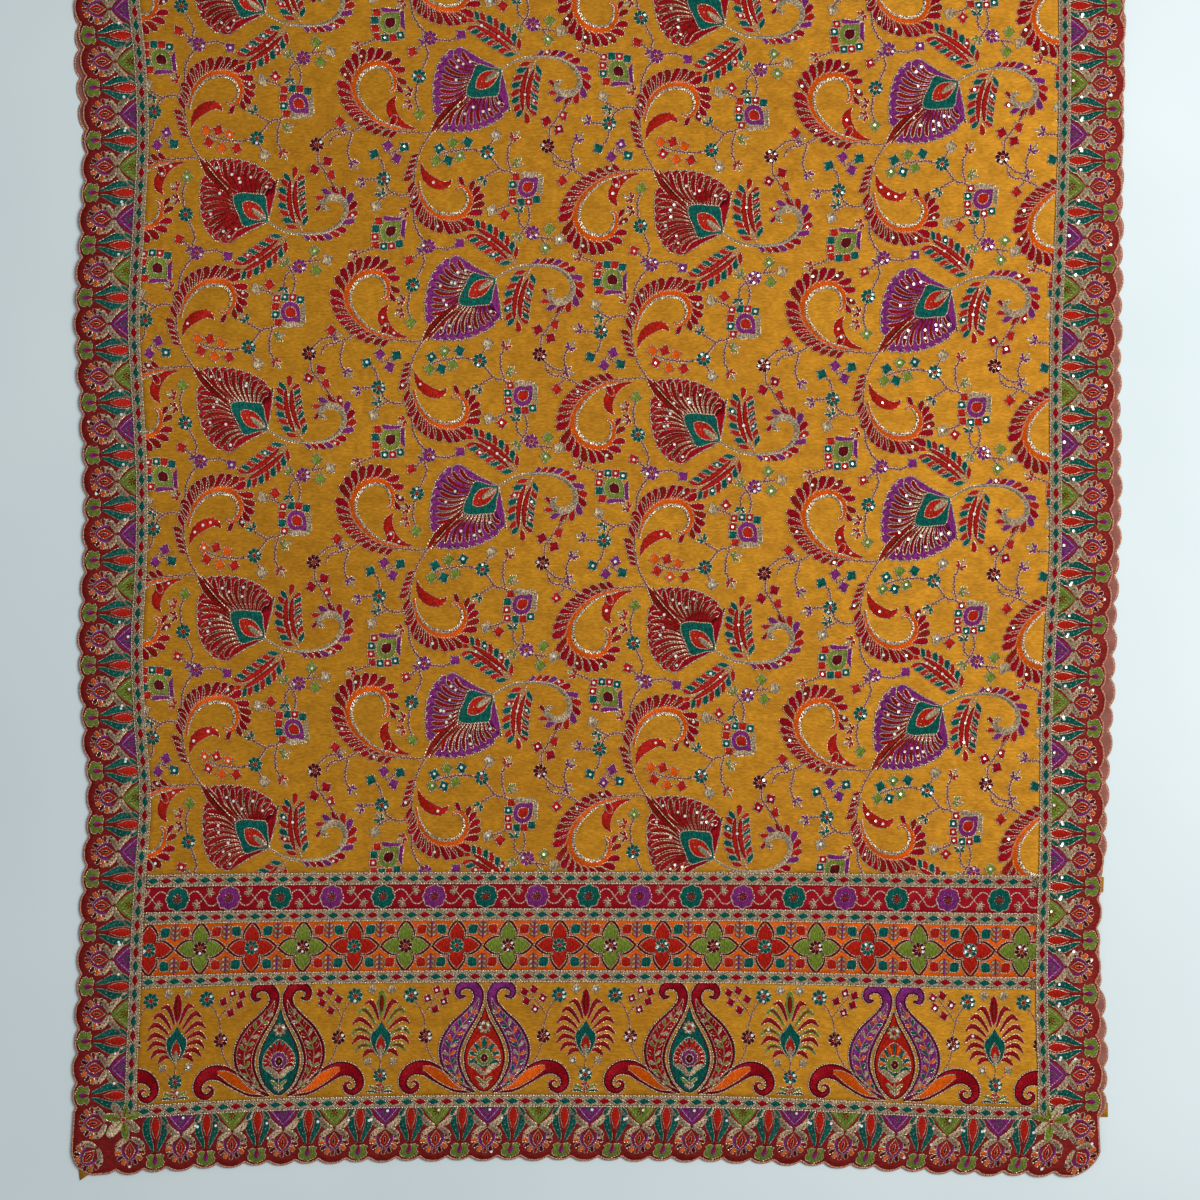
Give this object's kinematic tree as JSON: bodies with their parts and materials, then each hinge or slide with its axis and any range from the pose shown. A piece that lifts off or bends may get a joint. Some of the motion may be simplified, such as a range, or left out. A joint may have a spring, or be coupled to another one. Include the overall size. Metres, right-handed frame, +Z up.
{
  "type": "embroidered dupatta, folded in half",
  "caption": "Long embroidered scarf with scalloped borders and banded ends, folded in half crosswise and laid flat.",
  "frame": {"origin": "under the middle of the folded cloth, on the surface that it lies on", "axes": "+Z up; +Y along the cloth, from the banded end towards the fold; +X across it, to the right seen from above with the fold away from the viewer"},
  "size_m": [0.957, 1.2679, 0.0077],
  "materials": {
    "mustard_cloth": "satin",
    "maroon_cloth": "matte",
    "crimson_cloth": "matte",
    "orange_cloth": "satin",
    "reverse_cloth": "matte",
    "gold_cord": "satin",
    "ecru_thread": "satin",
    "crimson_thread": "satin",
    "scarlet_thread": "satin",
    "orange_thread": "satin",
    "teal_thread": "satin",
    "purple_thread": "satin",
    "green_thread": "satin",
    "sequins": "gloss"
  },
  "bodies": {
    "root": {"under_half": "reverse_cloth", "field_panel": "mustard_cloth", "paisley_panel": "mustard_cloth", "quatrefoil_band": "orange_cloth", "rosette_band": "crimson_cloth", "border_left": "maroon_cloth", "border_right": "maroon_cloth", "border_pallu_left": "maroon_cloth", "border_pallu_right": "maroon_cloth", "border_pallu_end": "maroon_cloth", "braid_left": "gold_cord", "braid_right": "gold_cord", "braid_pallu_left": "gold_cord", "braid_pallu_right": "gold_cord", "braid_pallu_end": "gold_cord", "braid_quatrefoil": "gold_cord", "braid_rosette": "gold_cord", "braid_field_end": "gold_cord"}
  },
  "joints": []
}
